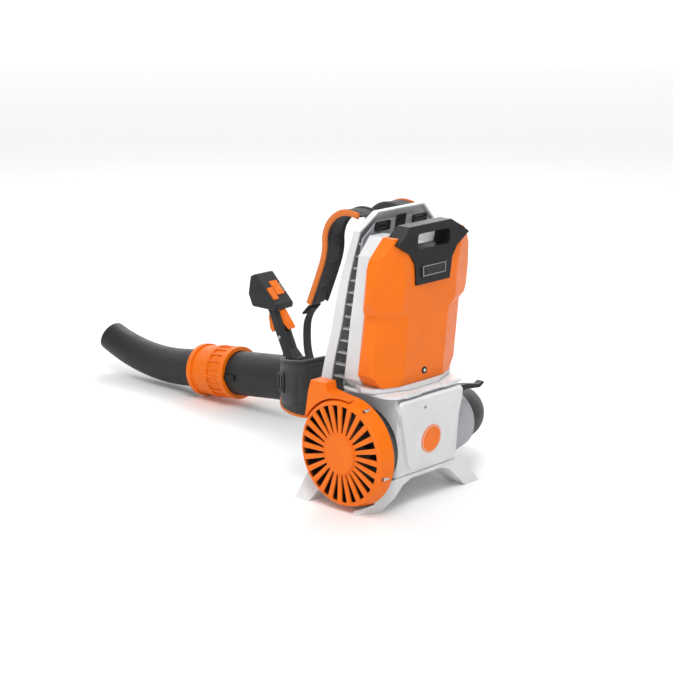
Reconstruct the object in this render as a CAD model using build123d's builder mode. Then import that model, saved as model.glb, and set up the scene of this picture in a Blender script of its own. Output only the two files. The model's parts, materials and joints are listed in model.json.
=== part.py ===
"""Backpack leaf blower: battery on a back frame, in-line fan, bent outlet, hose and blow tube.

+X is the operator's right, +Y the way the operator faces, +Z up. The origin is on the ground,
under the fan axis and midway between the side walls of the back frame.
"""
import os
from math import cos, radians, sin, tan

from build123d import *

os.makedirs("parts", exist_ok=True)

# Driving dimensions, mm and degrees
WALL = 3.0                # moulded shells
GAP = 0.5                 # running gap between separate shells
FAN_Z = 127.0             # height of the fan axis, which runs along X
GRILLE_R = 122.0          # intake cover, largest radius
GRILLE_X = -186.0         # outer face of the intake cover
GRILLE_DEPTH = 36.0
SLOT_COUNT = 24
SLEEVE_X = -104.0         # inner end of the intake sleeve, and end of the fan housing
HOUSING_END_X = 112.0
DUCT_R = 74.0             # outside of the fan duct
RIM_X = 190.0             # outlet rim that the elbow turns in
TUBE_R = 56.0             # elbow and blow tube, outside
TUBE_X = 254.0            # blow tube lies in the plane x = TUBE_X
ELBOW_BEND_R = 60.0       # bend of the outlet elbow, at its middle
TUBE_WALL = 3.5
HOSE_R = 52.0
HOSE_START_Y = 62.0
HOSE_REACH = 493.0        # hose length along Y
TUBE_DROP = 6.0           # slope of the blow tube, downwards
TUBE_LENGTH = 234.0
COLLAR_START, COLLAR_END, COLLAR_R = 190.0, 322.0, 67.0
NOZZLE_STRAIGHT = 408.0   # where the nozzle starts to bend up, from the start of the tube
NOZZLE_BEND_R = 600.0
NOZZLE_TIP_ANGLE = 21.0
NOZZLE_TIP_R = 40.0
STAND_FRONT_Y, STAND_REAR_Y = 135.0, -84.0
STAND_HALF = 182.0
STAND_TOP_Z = 86.0
FRAME_HALF = 120.0        # back frame, half width
FRAME_TOP_Z = 632.0
LEAN = 9.2                # lean of the battery and its guide
BATTERY_BASE_Z = 253.0
GRIP_LEAN = 26.0
FAN_AXIS = Axis((0, 0, FAN_Z), (1, 0, 0))


def lean_y(z, y_at_300):
    """Depth at height z of a face that leans back by LEAN."""
    return y_at_300 - (z - 300) * tan(radians(LEAN))


def x_disc(x):
    """Plane across the fan axis: local x is +Y and local y is +Z."""
    return Plane(origin=(x, 0, FAN_Z), x_dir=(0, 1, 0), z_dir=(1, 0, 0))


def front_plane(y):
    """Upright plane facing the rear: local x is +X, local y is +Z, extrudes towards -Y."""
    return Plane.XZ.offset(-y)


# Frame of the blow tube: z along the tube away from the hose, y downwards
drop = radians(TUBE_DROP)
HOSE_BEND_R = HOSE_REACH / sin(drop)
TUBE_START = (TUBE_X, HOSE_START_Y + HOSE_REACH, FAN_Z - HOSE_BEND_R * (1 - cos(drop)))
TUBE = Plane(origin=TUBE_START, x_dir=(1, 0, 0), z_dir=(0, cos(drop), -sin(drop)))
HOSE_MID = (
    HOSE_START_Y + HOSE_BEND_R * sin(drop / 2),
    FAN_Z - HOSE_BEND_R * (1 - cos(drop / 2)),
)

# ---------------------------------------------------------------- stand
STAND_OUTLINE = [
    (-STAND_HALF, 0), (-135, 0), (-78, 50), (-50, 60), (50, 60), (78, 50), (135, 0),
    (STAND_HALF, 0), (108, STAND_TOP_Z), (-108, STAND_TOP_Z),
]
HOUSING_OUTLINE = [
    (-84, 70), (-96, 216), (-84, 246), (60, 246), (88, 205), (88, 80), (50, 49), (-50, 49),
]
# raised rear panel of the housing, in the badge's plane
PANEL_FRONT = [(-104, 97), (95, 97), (96, 76), (74, -44), (58, -58), (-56, -58), (-70, -44), (-105, 76)]
PANEL_RISE = 7.5
BADGE_TILT = radians(5.16)
BADGE = Plane(origin=(0, -96.1, 140), x_dir=(1, 0, 0), z_dir=(0, -cos(BADGE_TILT), -sin(BADGE_TILT)))
STAND_PLAN = [(-STAND_HALF, -48), (-104, STAND_REAR_Y), (STAND_HALF, STAND_REAR_Y), (STAND_HALF, STAND_FRONT_Y),
              (-STAND_HALF, STAND_FRONT_Y)]
ARCH = [(-38, -5), (-16, 42), (74, 42), (96, -5)]
stand_length = STAND_FRONT_Y - STAND_REAR_Y

with BuildPart() as leg_hollow:
    with BuildSketch(front_plane(STAND_FRONT_Y - 4)):
        Polygon(*STAND_OUTLINE, align=None)
        offset(amount=-4, kind=Kind.INTERSECTION)
    extrude(amount=stand_length - 8)
    with BuildSketch(Plane.YZ):
        Polygon(*ARCH, align=None)
        offset(amount=4, kind=Kind.INTERSECTION)
    extrude(amount=200, both=True, mode=Mode.SUBTRACT)
    with BuildSketch(Plane.XY):
        Polygon(*STAND_PLAN, align=None)
        offset(amount=-4, kind=Kind.INTERSECTION)
    extrude(amount=STAND_TOP_Z, mode=Mode.INTERSECT)

with BuildPart() as stand:
    with BuildSketch(front_plane(STAND_FRONT_Y)):
        Polygon(*STAND_OUTLINE, align=None)
    extrude(amount=stand_length)
    with BuildSketch(Plane.YZ):
        Polygon(*ARCH, align=None)
    extrude(amount=200, both=True, mode=Mode.SUBTRACT)
    with BuildSketch(Plane.XY):
        Polygon(*STAND_PLAN, align=None)
    extrude(amount=STAND_TOP_Z, mode=Mode.INTERSECT)
    add(leg_hollow.part, mode=Mode.SUBTRACT)
    # cradle for the fan housing, and room for the intake sleeve and cover
    with BuildSketch(Plane.YZ):
        Polygon(*HOUSING_OUTLINE, align=None)
        offset(amount=GAP, kind=Kind.INTERSECTION)
    extrude(amount=160, both=True, mode=Mode.SUBTRACT)
    with BuildSketch(x_disc(-200)):
        Circle(GRILLE_R + 3)
    extrude(amount=55, mode=Mode.SUBTRACT)
    with BuildSketch(x_disc(-145)):
        Circle(120)
    with BuildSketch(x_disc(SLEEVE_X)):
        Circle(93)
    loft(mode=Mode.SUBTRACT)
stand.part.label = "stand"
export_step(stand.part, "parts/stand.step")

# ---------------------------------------------------------------- fan housing
with BuildPart() as housing:
    with BuildSketch(Plane.YZ.offset(SLEEVE_X)):
        Polygon(*HOUSING_OUTLINE, align=None)
    extrude(amount=HOUSING_END_X - SLEEVE_X)
    chamfer(housing.faces().sort_by(Axis.X)[-1].edges(), length=14)
    chamfer(housing.faces().sort_by(Axis.X)[0].edges(), length=5)
    fillet(housing.edges().filter_by(Axis.X), radius=9)
    with BuildSketch(BADGE.offset(-PANEL_RISE)):
        Polygon(*PANEL_FRONT, align=None)
        offset(amount=4, kind=Kind.INTERSECTION)
        fillet(vertices(), radius=9)
    extrude(amount=PANEL_RISE, taper=28)
    with BuildSketch(Plane.YZ.offset(SLEEVE_X + WALL)):
        Polygon(*HOUSING_OUTLINE, align=None)
        offset(amount=-WALL, kind=Kind.INTERSECTION)
    extrude(amount=HOUSING_END_X - SLEEVE_X - 2 * WALL - 12, mode=Mode.SUBTRACT)
    with BuildSketch(x_disc(SLEEVE_X - 5)):
        Circle(DUCT_R + 0.3)
    extrude(amount=280, mode=Mode.SUBTRACT)

HOUSING_SPLIT = front_plane(5)
with BuildPart() as housing_rear:
    add(housing.part)
    split(bisect_by=HOUSING_SPLIT, keep=Keep.TOP)
    with BuildSketch(Plane(origin=(-28, -80, 217), x_dir=(1, 0, 0), z_dir=(0, -1, 0))):
        Circle(4)
    extrude(amount=40, mode=Mode.SUBTRACT)
housing_rear.part.label = "housing_rear"
export_step(housing_rear.part, "parts/housing_rear.step")

with BuildPart() as housing_front:
    add(housing.part)
    split(bisect_by=HOUSING_SPLIT, keep=Keep.BOTTOM)
housing_front.part.label = "housing_front"
export_step(housing_front.part, "parts/housing_front.step")

# round blank badge on the leaning rear face
with BuildPart() as badge:
    with BuildSketch(BADGE):
        Circle(31.5)
    extrude(amount=2)
    fillet(badge.faces().sort_by(Axis.Y)[0].edges(), radius=0.8)
badge.part.label = "badge"
export_step(badge.part, "parts/badge.step")

with BuildPart() as fan_duct:
    with BuildSketch(x_disc(SLEEVE_X)):
        Circle(DUCT_R)
        Circle(DUCT_R - WALL, mode=Mode.SUBTRACT)
    extrude(amount=HOUSING_END_X - SLEEVE_X)
fan_duct.part.label = "fan_duct"
export_step(fan_duct.part, "parts/fan_duct.step")

# intake sleeve: bell mouth from the cover down to the duct
SLEEVE_TOP_X = GRILLE_X + GRILLE_DEPTH
with BuildPart() as intake_sleeve:
    with BuildSketch(Plane.XZ):
        with Locations((0, FAN_Z)):
            Polygon(
                (GRILLE_X + 13, 107), (GRILLE_X + 13, 110), (SLEEVE_TOP_X, 110.5), (SLEEVE_TOP_X, 116),
                (SLEEVE_X - 12, 96), (SLEEVE_X, 92), (SLEEVE_X, DUCT_R - WALL), (SLEEVE_X - 3, DUCT_R - WALL),
                (SLEEVE_X - 14, 88), (SLEEVE_TOP_X, 107), align=None,
            )
    revolve(axis=FAN_AXIS)
intake_sleeve.part.label = "intake_sleeve"
export_step(intake_sleeve.part, "parts/intake_sleeve.step")

# outlet shroud: stepped cone from the housing to the rim that the elbow turns in
with BuildPart() as outlet_shroud:
    with BuildSketch(Plane.XZ):
        with Locations((0, FAN_Z)):
            Polygon(
                (HOUSING_END_X, 54), (HOUSING_END_X, 75), (HOUSING_END_X + 40, 73), (RIM_X - 5, 67),
                (RIM_X, 63), (RIM_X, 52.4), (RIM_X - 26, 52.4), (RIM_X - 30, 66), (HOUSING_END_X + 6, 70),
                (HOUSING_END_X + 6, 54), align=None,
            )
    revolve(axis=FAN_AXIS)
    with BuildSketch(x_disc(HOUSING_END_X - 1)):
        Circle(64)
    extrude(amount=8, mode=Mode.SUBTRACT)
outlet_shroud.part.label = "outlet_shroud"
export_step(outlet_shroud.part, "parts/outlet_shroud.step")

# ---------------------------------------------------------------- fan, motor and stator
HUB_R, SHAFT_R, MOTOR_R = 38.0, 5.0, 32.0
with BuildPart() as stator:
    with BuildSketch(x_disc(18)):
        Circle(HUB_R)
        Circle(MOTOR_R + 0.2, mode=Mode.SUBTRACT)
        with PolarLocations((HUB_R + DUCT_R - WALL) / 2, 8):
            Rectangle(DUCT_R - WALL - HUB_R + 0.6, 3)
        Circle(DUCT_R - WALL - 0.05, mode=Mode.INTERSECT)
    extrude(amount=62)
stator.part.label = "stator"
export_step(stator.part, "parts/stator.step")

with BuildPart() as motor:
    with BuildSketch(x_disc(-4)):
        Circle(MOTOR_R)
        Circle(SHAFT_R + 0.06, mode=Mode.SUBTRACT)
    extrude(amount=84)
    fillet(motor.faces().sort_by(Axis.X)[-1].edges().sort_by(SortBy.RADIUS)[-1], radius=3)
motor.part.label = "motor"
export_step(motor.part, "parts/motor.step")

with BuildPart() as motor_shaft:
    with BuildSketch(x_disc(-74)):
        Circle(SHAFT_R)
    extrude(amount=160)
motor_shaft.part.label = "motor_shaft"
export_step(motor_shaft.part, "parts/motor_shaft.step")

ROTOR_X, ROTOR_LENGTH, BLADE_COUNT = -58.0, 46.0, 9
with BuildPart() as fan_rotor:
    with BuildSketch(x_disc(ROTOR_X)):
        Circle(HUB_R)
    extrude(amount=ROTOR_LENGTH)
    fillet(fan_rotor.faces().sort_by(Axis.X)[0].edges(), radius=14)
    for blade in range(BLADE_COUNT):
        around = Location((0, 0, FAN_Z), (blade * 360 / BLADE_COUNT, 0, 0))
        root_plane = Plane(around) * Plane(
            origin=(ROTOR_X + ROTOR_LENGTH / 2 + 2, 0, HUB_R - 4), x_dir=(cos(radians(35)), sin(radians(35)), 0),
            z_dir=(0, 0, 1),
        )
        with BuildSketch(root_plane):
            SlotOverall(46, 3)
        extrude(amount=34.5)
    with BuildSketch(x_disc(ROTOR_X - 10)):
        Circle(SHAFT_R)
    extrude(amount=ROTOR_LENGTH + 20, mode=Mode.SUBTRACT)
fan_rotor.part.label = "fan_rotor"
export_step(fan_rotor.part, "parts/fan_rotor.step")

with BuildPart() as fan_nut:
    with BuildSketch(x_disc(ROTOR_X - 9)):
        RegularPolygon(9, 6)
        Circle(SHAFT_R, mode=Mode.SUBTRACT)
    extrude(amount=8.5)
fan_nut.part.label = "fan_nut"
export_step(fan_nut.part, "parts/fan_nut.step")

with BuildPart() as controller:
    with BuildSketch(Plane.XY.offset(206)):
        RectangleRounded(130, 92, 6)
    extrude(amount=26)
    with BuildSketch(Plane.XY.offset(232)):
        with GridLocations(10, 0, 10, 1):
            Rectangle(3, 80)
    extrude(amount=8)
controller.part.label = "controller"
export_step(controller.part, "parts/controller.step")

# ---------------------------------------------------------------- intake cover
FACE = 4.0
SLOT_IN, SLOT_OUT = 46.0, 105.0
SCREW_ANGLES = (119.7, 197.5, 285.0, 20.0)
SCREW_RING_R = 116.0
CORNER_TAB = [(-40, 112), (-4, 122), (40, 129), (44, 147), (86, 146), (94, 122), (104, 62), (60, 60)]


def slot_outline():
    """One tapered intake slot, pointing outwards along local x."""
    inner_half, outer_half = 2.0, 7.6
    Polygon(
        (SLOT_IN, -inner_half), (SLOT_OUT, -outer_half), (SLOT_OUT + 1.4, 0), (SLOT_OUT, outer_half),
        (SLOT_IN, inner_half), align=None,
    )


with BuildPart() as intake_grille:
    with BuildSketch(Plane.XZ):
        with Locations((0, FAN_Z)):
            Polygon(
                (GRILLE_X, 0), (GRILLE_X, 108), (GRILLE_X + 5, 114), (GRILLE_X + 14, 117),
                (SLEEVE_TOP_X, GRILLE_R), (SLEEVE_TOP_X, GRILLE_R - WALL), (GRILLE_X + 12, 112),
                (GRILLE_X + FACE, 107), (GRILLE_X + FACE, 0),
                align=None,
            )
    revolve(axis=FAN_AXIS)
    with BuildSketch(x_disc(GRILLE_X + 4)):
        Polygon(*CORNER_TAB, align=None)
        Circle(GRILLE_R - WALL, mode=Mode.SUBTRACT)
    extrude(amount=GRILLE_DEPTH - 4)
    with BuildSketch(x_disc(GRILLE_X - 1)):
        for slot in range(SLOT_COUNT):
            with Locations(Location((0, 0, 0), (0, 0, (slot + 0.5) * 360 / SLOT_COUNT))):
                slot_outline()
    extrude(amount=FACE + 2, mode=Mode.SUBTRACT)
    with BuildSketch(x_disc(GRILLE_X - 2)):
        Circle(43)
    extrude(amount=3)
    for angle in SCREW_ANGLES:
        with BuildSketch(x_disc(GRILLE_X + 10)):
            with Locations((SCREW_RING_R * cos(radians(angle)), SCREW_RING_R * sin(radians(angle)))):
                Circle(4.6)
        extrude(amount=30, mode=Mode.SUBTRACT)
intake_grille.part.label = "intake_grille"
export_step(intake_grille.part, "parts/intake_grille.step")

with BuildPart() as grille_screws:
    with BuildSketch(x_disc(GRILLE_X + 16)):
        for angle in SCREW_ANGLES:
            with Locations((SCREW_RING_R * cos(radians(angle)), SCREW_RING_R * sin(radians(angle)))):
                Circle(4.4)
    extrude(amount=18)
grille_screws.part.label = "grille_screws"
export_step(grille_screws.part, "parts/grille_screws.step")

# ---------------------------------------------------------------- back frame
OPERATOR_EDGE = [(118, 240), (101, 312), (82, 381), (69, 445), (50, 512), (25, 581), (8, FRAME_TOP_Z)]
BATTERY_EDGE = [(-8, FRAME_TOP_Z), (9, 575), (30, 505), (44, 445), (56, 383), (70, 331), (84, 262)]
FRAME_FRONT = [
    (-FRAME_HALF, 92), (FRAME_HALF, 92), (FRAME_HALF, 594), (74, FRAME_TOP_Z), (-74, FRAME_TOP_Z),
    (-FRAME_HALF, 594),
]
SKIN = 4.0


def frame_side():
    """Side view of the back frame, an S curve, on the current sketch."""
    with BuildLine() as edge:
        Spline(*OPERATOR_EDGE)
        Polyline(OPERATOR_EDGE[-1], BATTERY_EDGE[0])
        Spline(*BATTERY_EDGE)
        Polyline(BATTERY_EDGE[-1], (100, 205), (100, 92), (128, 92), (127, 180), OPERATOR_EDGE[0])
    make_face(edge.edges())


with BuildPart() as frame_hollow:
    with BuildSketch(Plane.YZ.shift_origin((0, -SKIN, 0))):
        frame_side()
    extrude(amount=FRAME_HALF, both=True)
    with BuildSketch(front_plane(160)):
        Polygon(*FRAME_FRONT, align=None)
        offset(amount=-SKIN, kind=Kind.INTERSECTION)
    extrude(amount=400, mode=Mode.INTERSECT)

with BuildPart() as back_frame:
    with BuildSketch(Plane.YZ):
        frame_side()
    extrude(amount=FRAME_HALF, both=True)
    with BuildSketch(front_plane(160)):
        Polygon(*FRAME_FRONT, align=None)
    extrude(amount=400, mode=Mode.INTERSECT)
    add(frame_hollow.part, mode=Mode.SUBTRACT)
back_frame.part.label = "back_frame"
export_step(back_frame.part, "parts/back_frame.step")

# ribbed guide panel that the battery slides down
CARRIER_HALF, CARRIER_TOP = 114.0, 612.0
GUIDE_Y = 44.5            # face that the battery slides on, at z = 300
CARRIER_FRONT = [
    (-CARRIER_HALF, BATTERY_BASE_Z + 2), (CARRIER_HALF, BATTERY_BASE_Z + 2), (CARRIER_HALF, 578),
    (76, CARRIER_TOP), (-76, CARRIER_TOP), (-CARRIER_HALF, 578),
]
RIB_PITCH = 27.0
RIB_COUNT = 12


def leaning_band(y_front, y_back, z_low, z_high):
    """Side view of a flat part between two leaning faces."""
    Polygon(
        (lean_y(z_low, y_front), z_low), (lean_y(z_low, y_back), z_low),
        (lean_y(z_high, y_back), z_high), (lean_y(z_high, y_front), z_high), align=None,
    )


with BuildPart() as guide_panel:
    with BuildSketch(Plane.YZ):
        leaning_band(GUIDE_Y, GUIDE_Y + 4, 255, 620)
    extrude(amount=CARRIER_HALF, both=True)
    for rib in range(RIB_COUNT):
        rib_z = 268 + rib * RIB_PITCH
        with BuildSketch(Plane.YZ):
            leaning_band(GUIDE_Y + 3, GUIDE_Y + 34 - 0.045 * (rib_z - 268), rib_z, rib_z + 4)
        extrude(amount=CARRIER_HALF, both=True)
    with BuildSketch(Plane.YZ.shift_origin((0, -GAP, 0))):
        frame_side()
    extrude(amount=FRAME_HALF, both=True, mode=Mode.SUBTRACT)
    with BuildSketch(front_plane(160)):
        Polygon(*CARRIER_FRONT, align=None)
    extrude(amount=400, mode=Mode.INTERSECT)
    # recess for the battery latch
    with BuildSketch(front_plane(160)):
        with Locations((0, 600)):
            Rectangle(34, 44)
    extrude(amount=400, mode=Mode.SUBTRACT)
guide_panel.part.label = "guide_panel"
export_step(guide_panel.part, "parts/guide_panel.step")

with BuildPart() as battery_tray:
    with BuildSketch(Plane.XY.offset(246.6)):
        with Locations((0, -16)):
            RectangleRounded(248, 160, 34)
    extrude(amount=6)
    chamfer(battery_tray.faces().sort_by(Axis.Z)[-1].edges(), length=2)
    with BuildSketch(Plane.XY.offset(246.6)):
        with Locations((-62, -93), (62, -93)):
            RectangleRounded(52, 14, 5)
    extrude(amount=9)
battery_tray.part.label = "battery_tray"
export_step(battery_tray.part, "parts/battery_tray.step")

# strap sliders sit on the sloping top of the guide panel
slider_lean = radians(LEAN)
with BuildPart() as strap_sliders:
    for side in (-1, 1):
        slider = Plane(
            origin=(side * 60, lean_y(600, GUIDE_Y) - 5.4, 600), x_dir=(1, 0, 0),
            z_dir=(0, cos(slider_lean), sin(slider_lean)),
        )
        with BuildSketch(slider):
            RectangleRounded(46, 20, 3)
            with Locations((0, 5), (0, -5)):
                Rectangle(34, 4, mode=Mode.SUBTRACT)
        extrude(amount=5)
strap_sliders.part.label = "strap_sliders"
export_step(strap_sliders.part, "parts/strap_sliders.step")

with BuildPart() as tube_hook:
    with BuildSketch(front_plane(-56)):
        Polygon((HOUSING_END_X + 0.4, 206), (HOUSING_END_X + 0.4, 228), (150, 226), (194, 217), (208, 222),
                (210, 216), (196, 209), (148, 215), align=None)
    extrude(amount=16)
    fillet(tube_hook.edges().filter_by(Axis.Y), radius=1.6)
tube_hook.part.label = "tube_hook"
export_step(tube_hook.part, "parts/tube_hook.step")

# ---------------------------------------------------------------- battery
SHELL_BASE_Z = BATTERY_BASE_Z + 11
SHELL_FRONT = [
    (-110, SHELL_BASE_Z), (110, SHELL_BASE_Z), (136, 292), (143, 375), (146, 432), (156, 452),
    (156, 494), (146, 546), (112, 588), (-112, 588), (-146, 546), (-156, 494), (-156, 452),
    (-146, 432), (-143, 375), (-136, 292),
]
SHELL_Y = -6.0            # back of the battery's shell, at z = 300
SHELL_SIDE = [
    (-68, SHELL_BASE_Z), (lean_y(SHELL_BASE_Z, SHELL_Y), SHELL_BASE_Z), (lean_y(590, SHELL_Y), 590),
    (-84, 590), (-95, 560), (-94, 500), (-86, 430), (-74, 285),
]
# plan of the shell at its base: a flat front, slanting shoulders, and sides that draw in to the case
SHELL_PLAN = [(-126, 12), (-158, -26), (-158, -40), (-60, -79), (60, -79), (158, -40), (158, -26), (126, 12)]
WAIST_PLAN = [(-126, 12), (-144, -18), (-134, -42), (-50, -76), (50, -76), (134, -42), (144, -18), (126, 12)]
WAIST_TOP = 440.0
INSERT_FRONT = [
    (-54, 484), (54, 484), (60, 530), (76, 552), (116, 576), (68, 608), (-68, 608), (-116, 576),
    (-76, 552), (-60, 530),
]
INSERT_SIDE = [(-97, 484), (-76, 484), (-56, 560), (-56, 608), (-88, 608), (-98, 590), (-98.5, 530)]
FINGER_HALF, FINGER_LOW, FINGER_HIGH = 52.0, 560.0, 592.0
BUTTON_R, BUTTON_TRAVEL = 5.0, 1.5
BUTTON_Y, BUTTON_Z = -73.5, 288.0

with BuildPart() as insert_block:
    with BuildSketch(Plane.YZ):
        Polygon(*INSERT_SIDE, align=None)
    extrude(amount=150, both=True)
    with BuildSketch(front_plane(160)):
        Polygon(*INSERT_FRONT, align=None)
    extrude(amount=400, mode=Mode.INTERSECT)

def leaning_plan(z):
    """Plane across the battery's shell, whose front face leans a little less than its back."""
    front_lean = radians(5.5)
    return Plane(
        origin=(0, -(z - BATTERY_BASE_Z) * tan(front_lean), z), x_dir=(1, 0, 0),
        z_dir=(0, -sin(front_lean), cos(front_lean)),
    )


def plan_outline(outline, inset):
    """Closed outline on the current sketch, drawn in by inset."""
    Polygon(*outline, align=None)
    if inset:
        offset(amount=-inset, kind=Kind.INTERSECTION)


def shell_block(inset):
    """Outer form of the battery's shell; drawn in by inset, it is the hollow, open at the back."""
    with BuildPart() as block:
        with BuildSketch(Plane.YZ):
            plan_outline(SHELL_SIDE, inset)
            if inset:
                with Locations((12, 0)):
                    plan_outline(SHELL_SIDE, inset)
        extrude(amount=170, both=True)
        with BuildSketch(front_plane(160)):
            plan_outline(SHELL_FRONT, inset)
        extrude(amount=400, mode=Mode.INTERSECT)
        with BuildPart(mode=Mode.PRIVATE) as envelope:
            with BuildSketch(leaning_plan(WAIST_TOP)):
                plan_outline(SHELL_PLAN, inset)
            extrude(amount=190)
            with BuildSketch(leaning_plan(BATTERY_BASE_Z - 6)):
                plan_outline(WAIST_PLAN, inset)
            with BuildSketch(leaning_plan(WAIST_TOP - 14)):
                plan_outline(WAIST_PLAN, inset)
            loft()
            with BuildSketch(leaning_plan(WAIST_TOP - 14)):
                plan_outline(WAIST_PLAN, inset)
            with BuildSketch(leaning_plan(WAIST_TOP)):
                plan_outline(SHELL_PLAN, inset)
            loft(ruled=True)
        add(envelope.part, mode=Mode.INTERSECT)
    return block.part


with BuildPart() as battery_shell:
    add(shell_block(0))
    with BuildPart(mode=Mode.PRIVATE) as shell_hollow:
        add(shell_block(WALL + 1))
        add(insert_block.part, mode=Mode.SUBTRACT)
    add(shell_hollow.part, mode=Mode.SUBTRACT)
    add(insert_block.part, mode=Mode.SUBTRACT)
    with BuildSketch(front_plane(160)):
        with Locations((0, (FINGER_LOW + FINGER_HIGH) / 2)):
            Rectangle(2 * FINGER_HALF, FINGER_HIGH - FINGER_LOW)
    extrude(amount=400, mode=Mode.SUBTRACT)
    # round seat of the status button
    with BuildSketch(front_plane(BUTTON_Y + BUTTON_TRAVEL + 0.3)):
        with Locations((0, BUTTON_Z)):
            Circle(BUTTON_R + 0.4)
    extrude(amount=10, mode=Mode.SUBTRACT)
battery_shell.part.label = "battery_shell"
export_step(battery_shell.part, "parts/battery_shell.step")

with BuildPart() as battery_handle:
    add(insert_block.part)
    with BuildSketch(front_plane(160)):
        with Locations((0, (FINGER_LOW + FINGER_HIGH) / 2)):
            RectangleRounded(2 * FINGER_HALF, FINGER_HIGH - FINGER_LOW, 8)
    extrude(amount=400, mode=Mode.SUBTRACT)
battery_handle.part.label = "battery_handle"
export_step(battery_handle.part, "parts/battery_handle.step")

with BuildPart() as nameplate:
    with BuildSketch(front_plane(-98.6)):
        with Locations((0, 512)):
            RectangleRounded(80, 26, 2)
    extrude(amount=1.2)
nameplate.part.label = "nameplate"
export_step(nameplate.part, "parts/nameplate.step")

CASE_FRONT = [
    (-106, BATTERY_BASE_Z), (106, BATTERY_BASE_Z), (125, 274), (130, 400), (130, 546), (104, 586), (62, 586),
    (56, 552), (-56, 552), (-62, 586), (-104, 586), (-130, 546), (-130, 400), (-125, 274),
]
# foot of the case, which the front shell stands on
CASE_FOOT = [(-112, 24), (-136, -16), (-126, -44), (-48, -77), (48, -77), (126, -44), (136, -16), (112, 24)]
CASE_BACK_Y = GUIDE_Y - 7.5
RAIL_X, RAIL_WIDTH = 98.0, 9.0
with BuildPart() as battery_case:
    with BuildSketch(Plane.YZ):
        leaning_band(SHELL_Y + 0.3, CASE_BACK_Y, BATTERY_BASE_Z, 600)
    extrude(amount=150, both=True)
    with BuildSketch(front_plane(160)):
        Polygon(*CASE_FRONT, align=None)
    extrude(amount=400, mode=Mode.INTERSECT)
    with BuildSketch(Plane.XY.offset(BATTERY_BASE_Z)):
        Polygon(*CASE_FOOT, align=None)
    extrude(amount=SHELL_BASE_Z - BATTERY_BASE_Z - GAP)
    chamfer(battery_case.faces().sort_by(Axis.Z)[0].edges(), length=1.5)
    with BuildSketch(Plane.YZ):
        leaning_band(SHELL_Y - 5, CASE_BACK_Y - WALL, BATTERY_BASE_Z + 3, 546)
    extrude(amount=104, both=True, mode=Mode.SUBTRACT)
    # rails that run on the guide panel
    with BuildSketch(Plane.YZ):
        leaning_band(CASE_BACK_Y - 1, GUIDE_Y - GAP, BATTERY_BASE_Z + 4, 540)
    extrude(amount=RAIL_X + RAIL_WIDTH, both=True)
    with BuildSketch(Plane.YZ):
        leaning_band(CASE_BACK_Y, GUIDE_Y, BATTERY_BASE_Z, 560)
    extrude(amount=RAIL_X, both=True, mode=Mode.SUBTRACT)
battery_case.part.label = "battery_case"
export_step(battery_case.part, "parts/battery_case.step")

# cells: upright round cells in rows, behind the front shell
CELL_R, CELL_HEIGHT = 10.5, 70.0
CELL_Y = -32.0
with BuildPart() as battery_cells:
    for level in range(2):
        level_z = SHELL_BASE_Z + 6 + level * (CELL_HEIGHT + 5)
        with BuildSketch(Plane.XY.offset(level_z)):
            with Locations((0, CELL_Y - level * 8)):
                with GridLocations(22, 24, 8, 2):
                    Circle(CELL_R)
        extrude(amount=CELL_HEIGHT)
battery_cells.part.label = "battery_cells"
export_step(battery_cells.part, "parts/battery_cells.step")

with BuildPart() as battery_board:
    with BuildSketch(Plane.XY.offset(424)):
        with Locations((0, -48)):
            Rectangle(180, 40)
    extrude(amount=2)
battery_board.part.label = "battery_board"
export_step(battery_board.part, "parts/battery_board.step")

with BuildPart() as status_button:
    with BuildSketch(front_plane(BUTTON_Y)):
        with Locations((0, BUTTON_Z)):
            Circle(BUTTON_R)
    extrude(amount=2.8)
    fillet(status_button.faces().sort_by(Axis.Y)[0].edges(), radius=0.6)
status_button.part.label = "status_button"
export_step(status_button.part, "parts/status_button.step")

# catch that swings over the top of the battery's case, shown open, on its pin
LATCH_PIVOT = (lean_y(584, GUIDE_Y) + 3.0, 584)
with BuildPart() as battery_latch:
    with BuildSketch(Plane.YZ.offset(-13)):
        with BuildLine():
            Polyline(
                (LATCH_PIVOT[0] - 2.4, 584), (LATCH_PIVOT[0] - 5.6, 606), (LATCH_PIVOT[0] - 8.6, 618),
                (LATCH_PIVOT[0] - 12.6, 617), (LATCH_PIVOT[0] - 10.4, 609), (LATCH_PIVOT[0] - 9.0, 600),
                (LATCH_PIVOT[0] - 2.4, 584),
            )
        make_face()
        with Locations(LATCH_PIVOT):
            Circle(2.6)
            Circle(1.1, mode=Mode.SUBTRACT)
    extrude(amount=26)
battery_latch.part.label = "battery_latch"
export_step(battery_latch.part, "parts/battery_latch.step")

# ---------------------------------------------------------------- harness
PAD_X, PAD_WIDTH, PAD_THICKNESS = 65.0, 58.0, 15.0
PAD_ROUTE = [(24, 617), (62, 628), (104, 612), (130, 575), (128, 530), (146, 480), (180, 402)]
PAD_RADII = [60, 30, 35, 60, 90]
WEB_ROUTE = [(184, 396), (205, 374), (209, 330), (205, 286), (186, 255), (154, 243)]
WEB_RADII = [30, 100, 60, 35]


def side_ribbon(route, radii, width, thickness, x):
    """Band of constant section along a route in the plane at x."""
    with BuildPart() as band:
        with BuildLine(Plane.YZ.offset(x)) as line:
            FilletPolyline(*route, radius=radii)
        start = Plane(origin=line.line @ 0, x_dir=(1, 0, 0), z_dir=line.line % 0)
        with BuildSketch(start):
            Rectangle(width, thickness)
        sweep(path=line.line)
    return band.part


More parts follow.
